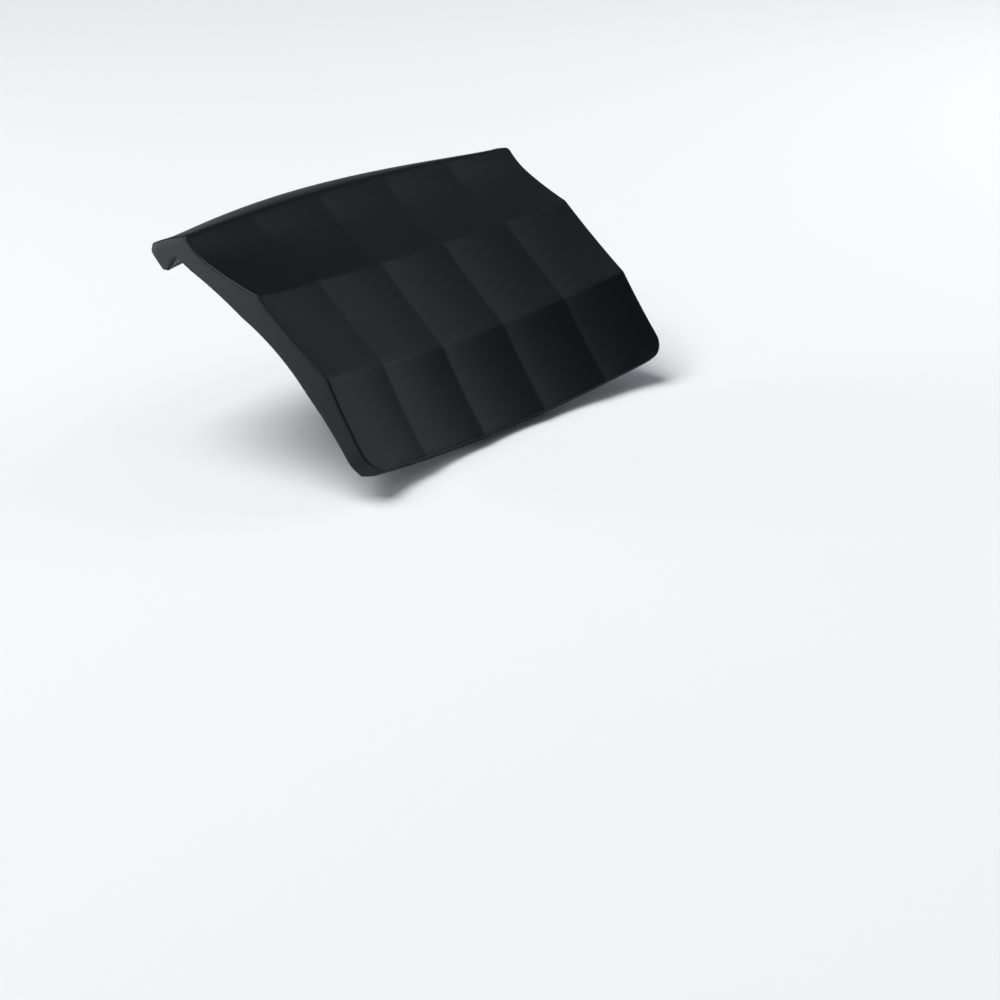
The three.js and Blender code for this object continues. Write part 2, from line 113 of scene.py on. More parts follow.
# Points of the arc that rounds a corner between two headings
def arcRound(corner, inDegrees, outDegrees, radius, steps):
    turn = outDegrees - inDegrees
    side = math.copysign(90, turn)
    reach = radius * math.tan(math.radians(abs(turn)) / 2)
    centre = walk(walk(corner, inDegrees, -reach), inDegrees + side, radius)
    return [walk(centre, inDegrees - side + turn * i / steps, radius) for i in range(steps + 1)]


def mix(a, b, share):
    return a + (b - a) * share


def mixBend(a, b, share):
    return tuple(mix(p, q, share) for p, q in zip(a, b))


def clamped(value):
    return min(max(value, 0), 1)


# A curve through three values, at the start, the middle and the end
def through(a, b, c, share):
    start = a * ((1 - share) * (1 - 2 * share))
    return start + b * (4 * share * (1 - share)) + c * (share * (2 * share - 1))


# Share along a stretch whose knots lie one apart from first
def knots(t, first, shares):
    place = min(max(t - first, 0), len(shares) - 1)
    i = min(int(place), len(shares) - 2)
    return mix(shares[i], shares[i + 1], place - i)


# Corners of the section
seatFront = heading(pad["seatAngle"], -pad["seatLength"] / 2)
seatBack = heading(pad["seatAngle"], pad["seatLength"] / 2)
notchReach = pad["notchRadius"] * math.tan(math.radians(pad["seatAngle"] + pad["lipAngle"]) / 2)
notchCorner = walk(seatBack, pad["seatAngle"], notchReach)
ridge = walk(seatFront, pad["seatAngle"] + 90, pad["thickRidge"])
firstCrease = walk(ridge, pad["upperAngle"], -pad["upperLength"])
secondCrease = walk(firstCrease, pad["middleAngle"], -pad["middleLength"])
bottomFront = walk(secondCrease, pad["lowerAngle"], -pad["lowerLength"])
bottomUnder = walk(bottomFront, pad["lowerAngle"] - 90, pad["thickBottom"])
tipInner = walk(notchCorner, -pad["lipAngle"], pad["lipLength"])
tipOuter = walk(tipInner, 0, pad["tipWidth"])
rearCorner = walk(tipOuter, pad["flareAngle"], pad["backLength"])
ridgeCorner = meet(rearCorner, 180 - pad["topAngle"], ridge, pad["shoulderAngle"])
creaseEnd = firstCrease + Vector((-pad["firstCreaseBend"][0], pad["firstCreaseBend"][1]))
down = pad["lowerAngle"] + 180


# One line across the pad: its points on the face and the underside, and how they bend
def station(front, under, frontBend, underBend, dip=0.0, scallop=0.0, dishIn=None):
    return {
        "front": front, "under": under, "frontBend": frontBend, "underBend": underBend,
        "dip": dip, "scallop": scallop, "dishIn": dishIn or (under - front).normalized(),
    }


hookSteps = {
    "topKnots": (0, 0.3, 0.5, 0.8, 1), "lipKnots": (0, 0.4, 0.64, 0.82, 1),
    "seatKnots": (0, 0.3, 0.6, 0.82, 1), "arc": 6, "firstLine": 0.35,
    "tipOuterRadius": 0.0015, "tipInnerRadius": 0.0015,
}


# The hook from its tip to the ridge: t runs 0 to 10, over the rear edge at 2 to 4 on the outside
# and through the notch at 4 to 6 on the inside
def hookStations():
    rearTurn = 180 - pad["topAngle"] - pad["flareAngle"]
    notchTurn = pad["seatAngle"] + pad["lipAngle"]
    rear = arcRound(rearCorner, pad["flareAngle"], 180 - pad["topAngle"], pad["rearRadius"], 2)
    notch = arcRound(notchCorner, 180 - pad["lipAngle"], 180 + pad["seatAngle"], pad["notchRadius"], 2)
    rearCentre = walk(rear[0], pad["flareAngle"] + 90, pad["rearRadius"])
    notchCentre = walk(notch[0], 270 - pad["lipAngle"], pad["notchRadius"])
    ridgeStart = walk(ridgeCorner, 180 - pad["topAngle"], -pad["ridgeRound"])
    back = walk((tipOuter + rear[0]) / 2, pad["flareAngle"] - 90, pad["backBulge"])

    def frontAt(t):
        if t < 2:
            return through(tipOuter, back, rear[0], t / 2)
        if t < 4:
            return walk(rearCentre, pad["flareAngle"] - 90 + rearTurn * (t - 2) / 2, pad["rearRadius"])
        if t < 8:
            share = knots(t, 4, hookSteps["topKnots"])
            crown = pad["topCrown"] * 4 * share * (1 - share)
            return walk(rear[2].lerp(ridgeStart, share), 90 - pad["topAngle"], crown)
        s = (t - 8) / 2
        return ridgeStart * (1 - s) ** 2 + ridgeCorner * (2 * s * (1 - s)) + ridge * s ** 2

    def underAt(t):
        if t < 4:
            return tipInner.lerp(notch[0], knots(t, 0, hookSteps["lipKnots"]))
        if t < 6:
            return walk(notchCentre, 90 - pad["lipAngle"] + notchTurn * (t - 4) / 2, pad["notchRadius"])
        return seatBack.lerp(seatFront, knots(t, 6, hookSteps["seatKnots"]))

    def frontBendAt(t, point):
        up = clamped((point.y - tipOuter.y) / (rearCorner.y - tipOuter.y))
        along = clamped((rearCorner.x - point.x) / (rearCorner.x - ridge.x))
        onBack = mixBend(pad["rimBend"], pad["hookTopBend"], up)
        onTop = mixBend(pad["hookTopBend"], pad["ridgeBend"], along)
        return mixBend(onBack, onTop, clamped(t - 3))

    arc = hookSteps["arc"]
    outerTip = arcRound(tipOuter, 0, pad["flareAngle"], hookSteps["tipOuterRadius"], arc)
    innerTip = arcRound(tipInner, 180, 180 - pad["lipAngle"], hookSteps["tipInnerRadius"], arc)
    rows = [station(f, u, pad["rimBend"], pad["rimBend"]) for f, u in zip(outerTip, innerTip)]
    places = [hookSteps["firstLine"]]
    for start, count in ((0, arc), (2, arc + 2), (4, arc), (6, arc), (8, arc)):
        places += [start + 2 * i / count for i in range(1, count + 1)]
    for t in sorted(p for p in places if p >= hookSteps["firstLine"]):
        front = frontAt(t)
        seatShare = knots(t, 6, hookSteps["seatKnots"])
        underBend = mixBend(pad["rimBend"], pad["seatFrontBend"], seatShare)
        scallop = pad["ridgeScallop"] * max(0, (t - 8) / 2)
        rows.append(station(front, underAt(t), frontBendAt(t, front), underBend, 0.0, scallop))
    return rows


def dishAt(share, deepest):
    if share < deepest:
        return 1 - ((deepest - share) / deepest) ** 2
    return 1 - ((share - deepest) / (1 - deepest)) ** 2


rowSteps = {"lines": 14, "creaseReach": 0.0008}


# The lines of one row of tiles, without the one it starts from
def rowStations(row):
    edge = rowSteps["creaseReach"] / row["length"]
    shares = [edge, *(i / rowSteps["lines"] for i in range(1, rowSteps["lines"])), 1 - edge]
    shares += [1 - distance / row["length"] for distance in row.get("cornerLines", ())]
    made = []
    for share in sorted(set(shares)) + [1]:
        front = row["start"].lerp(row["end"], share)
        lean = mix(row["leans"][0], row["leans"][1], share)
        under = walk(front, lean - 90, through(*row["thick"], share))
        frontBend = mixBend(row["bends"][0], row["bends"][1], share)
        underBend = mixBend(row.get("underBend", row["bends"][0]), row["bends"][1], share)
        scallop = mix(row.get("scallop", pad["tileScallop"]), pad["tileScallop"], share)
        dip = row["dip"] * dishAt(share, row["deepest"])
        made.append(station(front, under, frontBend, underBend, dip, scallop))
    return made


firstLean = (pad["upperAngle"] + pad["middleAngle"]) / 2
secondLean = (pad["middleAngle"] + pad["lowerAngle"]) / 2
frontRound = arcRound(bottomFront, down, down + 90, pad["frontRadius"], hookSteps["arc"])
underRound = arcRound(bottomUnder, down, down - 90, pad["underRadius"], hookSteps["arc"])
upperRow = {
    "start": ridge, "end": firstCrease, "length": pad["upperLength"],
    "leans": (pad["seatAngle"], firstLean),
    "thick": (pad["thickRidge"], pad["thickUpper"], pad["thickFirst"]),
    "bends": (pad["ridgeBend"], pad["firstCreaseBend"]), "underBend": pad["seatFrontBend"],
    "dip": pad["upperDip"], "deepest": pad["upperDeepest"], "scallop": pad["ridgeScallop"],
}
middleRow = {
    "start": firstCrease, "end": secondCrease, "length": pad["middleLength"],
    "leans": (firstLean, secondLean),
    "thick": (pad["thickFirst"], pad["thickMiddle"], pad["thickSecond"]),
    "bends": (pad["firstCreaseBend"], pad["secondCreaseBend"]),
    "dip": pad["middleDip"], "deepest": pad["evenDeepest"],
}
lowerRow = {
    "start": secondCrease, "end": frontRound[0], "length": pad["lowerLength"],
    "leans": (secondLean, pad["lowerAngle"]),
    "thick": (pad["thickSecond"], pad["thickLower"], pad["thickBottom"]),
    "bends": (pad["secondCreaseBend"], pad["bottomBend"]),
    "dip": pad["lowerDip"], "deepest": pad["evenDeepest"],
    "cornerLines": (0.011, 0.0085, 0.0065, 0.0033, 0.0018),
}


def bottomStations():
    into = heading(pad["lowerAngle"] - 90)
    return [
        station(f, u, pad["bottomBend"], pad["bottomBend"], 0.0, pad["tileScallop"], into)
        for f, u in zip(frontRound[1:], underRound[1:])
    ]


stations = hookStations()
ridgeRow = len(stations) - 1
stations += rowStations(upperRow)
firstCreaseRow = len(stations) - 1
stations += rowStations(middleRow)
secondCreaseRow = len(stations) - 1
stations += rowStations(lowerRow)
bottomRow = len(stations) - 1
stations += bottomStations()
lastRow = len(stations) - 1
print("section drawn:", len(stations), "lines across the pad")


# The way into the pad, square to the section, at each point of its outline
def addInward():
    ring = [row["front"] for row in stations] + [row["under"] for row in reversed(stations)]
    for i, point in enumerate(ring):
        before = ring[i - 1]
        after = ring[(i + 1) % len(ring)]
        ahead = (after - point).normalized() + (point - before).normalized()
        inward = Vector((-ahead.y, ahead.x)).normalized()
        if i <= lastRow:
            stations[i]["frontIn"] = inward
        else:
            stations[2 * lastRow + 1 - i]["underIn"] = inward


addInward()

# Distance along the underside from the lip's tip to each line
runs = [0.0]
for before, after in zip(stations, stations[1:]):
    runs.append(runs[-1] + (after["under"] - before["under"]).length)


# Half width at a point of the section, drawn in round the bottom corners
def halfWidthAt(point, inset):
    radius = pad["cornerRadius"] - inset
    fromEnd = (walk(bottomFront, down, -inset) - point).dot(heading(down))
    fromEnd = min(max(fromEnd, 0), radius)
    return halfWidth - inset - radius + math.sqrt(radius ** 2 - (radius - fromEnd) ** 2)


# A section point set out across the pad: the section planes fan out from the first crease
def setOut(point, bend, across, bendShare):
    y = point.x - bend[0] * bendShare
    z = point.y + bend[1] * bendShare + bend[2] * bendShare ** pad["upturnPower"]
    fan = (y - creaseEnd.x - (z - creaseEnd.y)) / pad["splayRadius"]
    return Vector((across * (1 + fan), y, z))


def acrossAt(column, point):
    outer = halfWidthAt(point, column["inset"])
    if column["beyond"] > 0:
        return math.copysign(mix(innerHalf, outer, column["beyond"]), column["nominal"])
    return column["nominal"]


tileSteps = {
    "shares": (0, 0.01, 0.02, 0.05, 0.1, 0.18, 0.28, 0.39, 0.5, 0.61, 0.72, 0.82, 0.9, 0.95, 0.98, 0.99),
    "crest": 0.02,  # how much of a tile is rounded on each side of a tile line
    "sideRadius": 0.0012, "sideSteps": 5,  # the edge between the face and a side band
}


# Depth of the scallop across a tile, as a share, with its crest rounded
def scallopAt(u):
    w = min(u, 1 - u)
    e = tileSteps["crest"]
    if w >= e:
        return 4 * w * (1 - w)
    return 4 * e * (1 - e) - 2 * (1 - 2 * e) / e * (e * e - w * w)


def facePoint(row, column, depth):
    point = row["front"] + row["dishIn"] * (row["dip"] + row["scallop"] * scallopAt(column["u"]))
    point = point + row["frontIn"] * depth
    across = acrossAt(column, point)
    return setOut(point, row["frontBend"], across, (across / halfWidth) ** 2)


# The underside stays flat behind the middle tile, where it seats on the rim
def undersidePoint(row, column, depth):
    point = row["under"] + row["underIn"] * depth
    across = acrossAt(column, point)
    share = max(0, across ** 2 - flatHalf ** 2) / (halfWidth ** 2 - flatHalf ** 2)
    return setOut(point, row["underBend"], across, share)


def columnAt(nominal, inset, u=0.0, depth=0.0):
    beyond = max(0, abs(nominal) - innerHalf) / tileWidth
    return {"nominal": nominal, "beyond": beyond, "inset": inset, "u": u, "depth": depth}


def padColumns(shares, inset):
    made = []
    for tile in range(pad["tileColumns"]):
        for share in shares:
            made.append(columnAt(-halfWidth + (tile + share) * tileWidth, inset, share))
    return made + [columnAt(halfWidth, inset)]


# Columns of the outside, with the rounded side edges as columns of their own
def outerColumns():
    radius = tileSteps["sideRadius"]
    edge = []
    for i in range(1, tileSteps["sideSteps"] + 1):
        turn = math.radians(90 * i / tileSteps["sideSteps"])
        edge.append((radius * (1 - math.sin(turn)), radius * (1 - math.cos(turn))))
    left = [columnAt(-halfWidth, inset, 0.0, depth) for inset, depth in reversed(edge)]
    right = [columnAt(halfWidth, inset, 0.0, depth) for inset, depth in edge]
    return left + padColumns(tileSteps["shares"], radius) + right


def makeObject(name, points, faces):
    mesh = bpy.data.meshes.new(name)
    mesh.from_pydata([tuple(p) for p in points], [], faces)
    mesh.validate()
    made = bpy.data.objects.new(name, mesh)
    bpy.context.scene.collection.objects.link(made)
    return made


def tidyNormals(piece, sharpAngle=38):
    work = bmesh.new()
    work.from_mesh(piece.data)
    bmesh.ops.recalc_face_normals(work, faces=work.faces)
    work.to_mesh(piece.data)
    work.free()
    piece.data.shade_smooth()
    piece.data.set_sharp_from_angle(angle=math.radians(sharpAngle))
    return piece


# A closed body from rings of points. Its two ends are filled with a grid between the face side
# and the under side, ladder faces deep.
def ringBody(name, rings, rowCount, ladder):
    size = len(rings[0])
    points = [p for ring in rings for p in ring]
    faces = []
    for c in range(len(rings) - 1):
        for i in range(size):
            j = (i + 1) % size
            faces.append((c * size + i, c * size + j, (c + 1) * size + j, (c + 1) * size + i))
    for c, flip in ((0, False), (len(rings) - 1, True)):
        grid = []
        for r in range(rowCount):
            faceSide = c * size + r
            underSide = c * size + 2 * rowCount + ladder - 2 - r
            if r == rowCount - 1:
                between = [faceSide + i for i in range(1, ladder)]
            elif r == 0:
                between = [c * size + size - i for i in range(1, ladder)]
            else:
                between = range(len(points), len(points) + ladder - 1)
                points += [points[faceSide].lerp(points[underSide], i / ladder) for i in range(1, ladder)]
            grid.append([faceSide, *between, underSide])
        for upper, lower in zip(grid, grid[1:]):
            for i in range(ladder):
                quad = (upper[i], lower[i], lower[i + 1], upper[i + 1])
                faces.append(quad[::-1] if flip else quad)
    return makeObject(name, points, faces)


# A closed body between the face and the underside, each at its own depth into the pad
def slab(name, rows, columns, faceDepth, underDepth, ladder=1):
    rings = []
    for column in columns:
        face = [facePoint(row, column, faceDepth + column["depth"]) for row in rows]
        under = [undersidePoint(row, column, underDepth + column["depth"]) for row in reversed(rows)]
        bottom = [face[-1].lerp(under[0], i / ladder) for i in range(1, ladder)]
        tip = [under[-1].lerp(face[0], i / ladder) for i in range(1, ladder)]
        rings.append(face + bottom + under + tip)
    return ringBody(name, rings, len(rows), ladder)


# A layer that follows the underside, between two depths into the pad
def underLayer(name, rows, columns, shallow, deep):
    rings = []
    for column in columns:
        outer = [undersidePoint(row, column, shallow) for row in rows]
        inner = [undersidePoint(row, column, deep) for row in reversed(rows)]
        rings.append(outer + inner)
    return tidyNormals(ringBody(name, rings, len(rows), 1))


def cut(piece, tool, operation="DIFFERENCE"):
    change = piece.modifiers.new("cut", "BOOLEAN")
    change.operation = operation
    change.solver = "EXACT"
    change.object = tool
    bpy.context.view_layer.objects.active = piece
    bpy.ops.object.modifier_apply(modifier=change.name)
    bpy.data.objects.remove(tool, do_unlink=True)
    return piece


def stationAtRun(run):
    after = next((i for i, r in enumerate(runs) if i and r >= run), lastRow)
    share = (run - runs[after - 1]) / (runs[after] - runs[after - 1])
    a = stations[after - 1]
    b = stations[after]
    directions = ("front", "under", "frontIn", "underIn", "dishIn")
    mixed = {key: a[key].lerp(b[key], share) for key in directions}
    mixed["frontBend"] = mixBend(a["frontBend"], b["frontBend"], share)
    mixed["underBend"] = mixBend(a["underBend"], b["underBend"], share)
    mixed["dip"] = mix(a["dip"], b["dip"], share)
    mixed["scallop"] = mix(a["scallop"], b["scallop"], share)
    return mixed


def stationsBetween(startRun, endRun, keepEvery=1):
    clear = tiledCover["gap"]
    inside = [row for row, run in zip(stations, runs) if startRun + clear < run < endRun - clear]
    return [stationAtRun(startRun), *inside[::keepEvery], stationAtRun(endRun)]


# The moulded skin of the face, the hook and all four edges, open underneath
tiledCover = {
    "skin": 0.0015, "gap": 0.0003, "overrun": 0.0015, "solidTip": 0.004,
    "innerShares": (0, 0.02, 0.25, 0.5, 0.75, 0.98), "edgeFaces": 4,
}
partingTop = tiledCover["solidTip"]
partingBottom = runs[bottomRow]


# Rounds the ridge and the two creases a little
def softenCreases(cover, columnCount):
    size = 2 * len(stations) + 2 * (tiledCover["edgeFaces"] - 1)
    corners = cover.data.vertices
    for c in range(columnCount):
        for row in (ridgeRow, firstCreaseRow, secondCreaseRow):
            place = c * size + row
            here = corners[place].co * 2
            corners[place].co = (corners[place - 1].co + corners[place + 1].co + here) / 4


def makeTiledCover():
    columns = outerColumns()
    cover = slab("tiled_cover_skin", stations, columns, 0.0, 0.0, tiledCover["edgeFaces"])
    softenCreases(cover, len(columns))
    skin = tiledCover["skin"]
    inner = padColumns(tiledCover["innerShares"], skin)
    roomRows = stationsBetween(partingTop, partingBottom, 2)
    room = slab("room", roomRows, inner, skin, -tiledCover["overrun"])
    foot = slab("foot", stations[bottomRow - 1:], inner, skin, skin)
    cut(tidyNormals(cover), tidyNormals(room))
    cut(cover, tidyNormals(foot))
    return tidyNormals(cover)


coverPiece = makeTiledCover()
print("tiled cover made:", len(coverPiece.data.polygons), "faces")


# Frame at a well: its y axis runs into the pad along the cup's axis
def wellFrame(side):
    mount = next(m for m in frame["record"]["mounts"] if m["name"] == f"cup_{side}")
    inward = -Vector(mount["axis"]).normalized()
    corners = [v.co for v in frame["nodes"][f"suction_cup_{side}"].data.vertices]
    middle = sum(corners, Vector()) / len(corners)
    lip = Vector(mount["pos_m"]).dot(inward)
    origin = middle + inward * (lip + suctionCup["proud"] - middle.dot(inward))
    turn = Vector((0, 1, 0)).rotation_difference(inward)
    return Matrix.Translation(origin) @ turn.to_matrix().to_4x4()


def bezier(a, b, c, steps):
    a, b, c = Vector(a), Vector(b), Vector(c)
    shares = [i / steps for i in range(steps + 1)]
    return [a * (1 - s) ** 2 + b * (2 * s * (1 - s)) + c * s ** 2 for s in shares]


edgeEasing = {"straightAngle": 12, "mostShare": 0.4, "steps": 4}


# A turned profile with its corners rounded, by at most a share of the edges they join
def eased(profile, radius, closed=False):
    made = []
    for i, point in enumerate(profile):
        here = Vector(point)
        before = Vector(profile[i - 1]) - here
        after = Vector(profile[(i + 1) % len(profile)]) - here
        atEnd = not closed and i in (0, len(profile) - 1)
        if atEnd or before.angle(-after) < math.radians(edgeEasing["straightAngle"]):
            made.append(here)
            continue
        start = here + before.normalized() * min(radius, before.length * edgeEasing["mostShare"])
        end = here + after.normalized() * min(radius, after.length * edgeEasing["mostShare"])
        made += bezier(start, here, end, edgeEasing["steps"])
    return made


onAxis = 0.0000001  # a smaller radius counts as none


# A body of revolution about its frame's y axis, from pairs of radius and height
def turned(name, profile, place, sides, closed=False):
    points = []
    index = []
    for r, h in profile:
        if r < onAxis:
            index.append([len(points)] * sides)
            points.append(place @ Vector((0, h, 0)))
            continue
        index.append(list(range(len(points), len(points) + sides)))
        for i in range(sides):
            angle = 2 * math.pi * i / sides
            points.append(place @ Vector((r * math.cos(angle), h, r * math.sin(angle))))
    faces = []
    for k in range(len(profile) if closed else len(profile) - 1):
        lower = index[k]
        upper = index[(k + 1) % len(profile)]
        for i in range(sides):
            j = (i + 1) % sides
            corner = [lower[i], upper[i], upper[j], lower[j]]
            face = [v for n, v in enumerate(corner) if v not in corner[:n]]
            if len(face) > 2:
                faces.append(tuple(face))
    return tidyNormals(makeObject(name, points, faces))


# Heights in a well are measured into the pad from its underside
well = {
    "radius": 0.02, "depth": 0.0065, "sides": 96,
    "mouthRound": 0.0011, "mouthSteps": 5, "floorRound": 0.0006, "floorSteps": 4,
}
suctionCup = {
    "radius": 0.018, "proud": 0.001, "lipWidth": 0.0016, "lipEdge": 0.0006, "domeWeb": 0.0022,
    "shoulderRadius": 0.008, "shoulderGap": 0.0004, "hollowHeight": 0.0032,
    "neckRadius": 0.0034, "headRadius": 0.0052, "headHeight": 0.0024,
    "curveSteps": 14, "ease": 0.00018,
}
cupSocket = {
    "mouthDepth": 0.0016, "hubRadius": 0.0076, "hubHeight": 0.0044,
    "flangeRadius": 0.01, "height": 0.0062, "headClearance": 0.0005, "ease": 0.0003,
}
wellRun = runs[secondCreaseRow]


# The skin of the underside, which dips into the two wells
def makeBackSkin():
    skin = tiledCover["skin"]
    over = tiledCover["overrun"]
    gap = tiledCover["gap"]
    rows = stationsBetween(partingTop + gap, partingBottom - gap)
    columns = padColumns(tileSteps["shares"][::2], skin + gap)
    back = underLayer("back_skin", rows, columns, 0.0, skin)
    radius = well["radius"]
    depth = well["depth"]
    wall = radius + skin
    wide = radius + well["mouthRound"]
    soft = well["floorRound"]
    hub = cupSocket["hubRadius"] + gap
    far = depth + skin + over
    # A plug fused to the inside of the skin is bored out from the underside in one cut
    plugLine = [(0, -over), (wall, -over), (wall, depth + skin), (0, depth + skin)]
    boreLine = [(0, -over), (wide, -over)]
    boreLine += bezier((wide, 0), (radius, 0), (radius, well["mouthRound"]), well["mouthSteps"])
    floorEdge = ((radius, depth - soft), (radius, depth), (radius - soft, depth))
    boreLine += bezier(*floorEdge, well["floorSteps"])
    boreLine += [(hub, depth), (hub, far), (0, far)]
    sides = well["sides"]
    plugs = turned("plugs", eased(plugLine, soft), wellFrame("left"), sides)
    cut(plugs, turned("plug", eased(plugLine, soft), wellFrame("right"), sides), "UNION")
    around = stationsBetween(wellRun - 2 * radius, wellRun + 2 * radius)
    cut(plugs, underLayer("inside", around, columns, skin / 2, 2 * depth), "INTERSECT")
    bores = turned("bores", boreLine, wellFrame("left"), sides)
    cut(bores, turned("bore", boreLine, wellFrame("right"), sides), "UNION")
    cut(back, plugs, "UNION")
    cut(back, bores)
    return tidyNormals(back)


# The moulded socket that holds a cup's head
def makeSocket(side):
    low = well["depth"]
    shelf = low + cupSocket["mouthDepth"]
    chamber = suctionCup["headRadius"] + cupSocket["headClearance"]
    neck = suctionCup["neckRadius"] + cupSocket["headClearance"]
    roof = shelf + suctionCup["headHeight"] + 2 * cupSocket["headClearance"]
    flange = low + cupSocket["hubHeight"]
    top = low + cupSocket["height"]
    line = [(0, roof), (chamber, roof), (chamber, shelf), (neck, shelf), (neck, low)]
    line += [(cupSocket["hubRadius"], low), (cupSocket["hubRadius"], flange)]
    line += [(cupSocket["flangeRadius"], flange), (cupSocket["flangeRadius"], top), (0, top)]
    outline = eased(line, cupSocket["ease"])
    return turned(f"socket_moulding_{side}", outline, wellFrame(side), well["sides"])


# A suction cup: thin dome, neck and mushroom head, with a flat lip
def makeCup(side):
    lip = -suctionCup["proud"]
    steps = suctionCup["curveSteps"]
    shoulder = well["depth"] - suctionCup["shoulderGap"]
    shelf = well["depth"] + cupSocket["mouthDepth"] + tiledCover["gap"]
    lipInner = suctionCup["radius"] - suctionCup["lipWidth"]
    roof = lip + suctionCup["hollowHeight"]
    web = shoulder - suctionCup["domeWeb"]
    middle = (suctionCup["radius"] + suctionCup["shoulderRadius"]) / 2
    line = bezier((0, roof), (lipInner / 2, roof), (lipInner, lip), steps)
    line.append((suctionCup["radius"], lip))
    domeStart = (suctionCup["radius"], lip + suctionCup["lipEdge"])
    domeEnd = (suctionCup["shoulderRadius"], shoulder - suctionCup["domeWeb"] / 2)
    line += bezier(domeStart, (middle, web), domeEnd, steps)
    line += [(suctionCup["shoulderRadius"], shoulder), (suctionCup["neckRadius"], shoulder)]
    line += [(suctionCup["neckRadius"], shelf), (suctionCup["headRadius"], shelf)]
    line += [(suctionCup["headRadius"], shelf + suctionCup["headHeight"] / 2)]
    line += [(suctionCup["neckRadius"], shelf + suctionCup["headHeight"])]
    line += [(0, shelf + suctionCup["headHeight"])]
    outline = eased(line, suctionCup["ease"])
    return turned(f"vinyl_cup_{side}", outline, wellFrame(side), well["sides"])


backSkin = makeBackSkin()
print("back skin made:", len(backSkin.data.polygons), "faces")
socketPieces = {side: makeSocket(side) for side in ("left", "right")}
cupPieces = {side: makeCup(side) for side in ("left", "right")}
print("sockets and cups made")

foamBody = {
    "shares": (0, 0.25, 0.5, 0.75), "sharpAngle": 30,
    "strapSpacing": 0.15, "strapWidth": 0.036, "strapThickness": 0.0012, "strapLength": 0.118,
    "holeRadius": 0.005, "firstHole": 0.036, "holePitch": 0.024, "holeCount": 4, "holeSides": 32,
}


# Frame on the underside, with its y axis square into the pad
def undersideFrame(run, across):
    step = tiledCover["gap"]

    def at(r, x):
        return undersidePoint(stationAtRun(r), columnAt(x, 0.0), 0.0)

    along = at(run + step, across) - at(run - step, across)
    sideways = at(run, across + step) - at(run, across - step)
    turn = Vector((0, 1, 0)).rotation_difference(along.cross(sideways).normalized())
    return Matrix.Translation(at(run, across)) @ turn.to_matrix().to_4x4()


# The room a steel strap takes in the foam, with the foam pegs that fill its holes
def strapRoom(side):
    gap = tiledCover["gap"]
    skin = tiledCover["skin"]
    middle = (-1 if side == "left" else 1) * foamBody["strapSpacing"] / 2
    reach = foamBody["strapWidth"] / 2 + gap
    start = partingTop + skin
    columns = [columnAt(middle + reach * i / 2, 0.0) for i in (-2, -1, 0, 1, 2)]
    rows = stationsBetween(start - gap, start + foamBody["strapLength"] + gap)
    deep = skin + 2 * gap + foamBody["strapThickness"]
    room = underLayer("strapRoom", rows, columns, 0.0, deep)
    radius = foamBody["holeRadius"] - gap
    pegLine = [(0, -skin), (radius, -skin), (radius, 2 * deep), (0, 2 * deep)]
    for i in range(foamBody["holeCount"]):
        place = undersideFrame(foamBody["firstHole"] + i * foamBody["holePitch"], middle)
        cut(room, turned("peg", pegLine, place, foamBody["holeSides"]))
    return room


# The foam between the skins, with room for the straps, the sockets and the wells
def makeFoamBody():
    gap = tiledCover["gap"]
    inset = tiledCover["skin"] + gap
    over = tiledCover["overrun"]
    rows = stationsBetween(partingTop + gap, runs[-1], 2)
    foam = tidyNormals(slab("foam_body", rows, padColumns(foamBody["shares"], inset), inset, inset))
    wide = well["radius"] + inset
    wellLine = [(0, -over), (wide, -over), (wide, well["depth"] + inset), (0, well["depth"] + inset)]
    hub = cupSocket["hubRadius"] + gap
    flange = cupSocket["flangeRadius"] + gap
    flangeLow = well["depth"] + cupSocket["hubHeight"] - gap
    flangeTop = well["depth"] + cupSocket["height"] + gap
    socketLine = [(0, well["depth"]), (hub, well["depth"]), (hub, flangeLow)]
    socketLine += [(flange, flangeLow), (flange, flangeTop), (0, flangeTop)]
    for side in ("left", "right"):
        cut(foam, turned("wellRoom", wellLine, wellFrame(side), well["sides"]))
        cut(foam, turned("socketRoom", socketLine, wellFrame(side), well["sides"]))
        cut(foam, strapRoom(side))
    return tidyNormals(foam, foamBody["sharpAngle"])


foamPiece = makeFoamBody()
print("foam body made:", len(foamPiece.data.polygons), "faces")

# The camera stands where the photograph was taken; its reference is the middle of the first crease
photoCamera = {
    "azimuth": -47.43, "elevation": 24.794, "lens": 68.294, "sensor": 36,
    "distance": 1.3076, "right": -0.0608, "up": 0.17006,
}


def makeCamera():
    turn = math.radians(photoCamera["azimuth"])
    tilt = math.radians(photoCamera["elevation"])
    right = Vector((math.cos(turn), math.sin(turn), 0))
    ahead = Vector((-math.sin(turn) * math.cos(tilt), math.cos(turn) * math.cos(tilt), -math.sin(tilt)))
    up = right.cross(ahead)
    aim = Vector((0, firstCrease.x, firstCrease.y))
    place = aim - right * photoCamera["right"] - up * photoCamera["up"] - ahead * photoCamera["distance"]
    data = bpy.data.cameras.new("photoCamera")
    data.lens = photoCamera["lens"]
    data.sensor_width = photoCamera["sensor"]
    camera = bpy.data.objects.new("photoCamera", data)
    camera.matrix_world = Matrix.Translation(place) @ Matrix((right, up, -ahead)).transposed().to_4x4()
    bpy.context.scene.collection.objects.link(camera)
    bpy.context.scene.camera = camera


makeCamera()
print("camera placed")

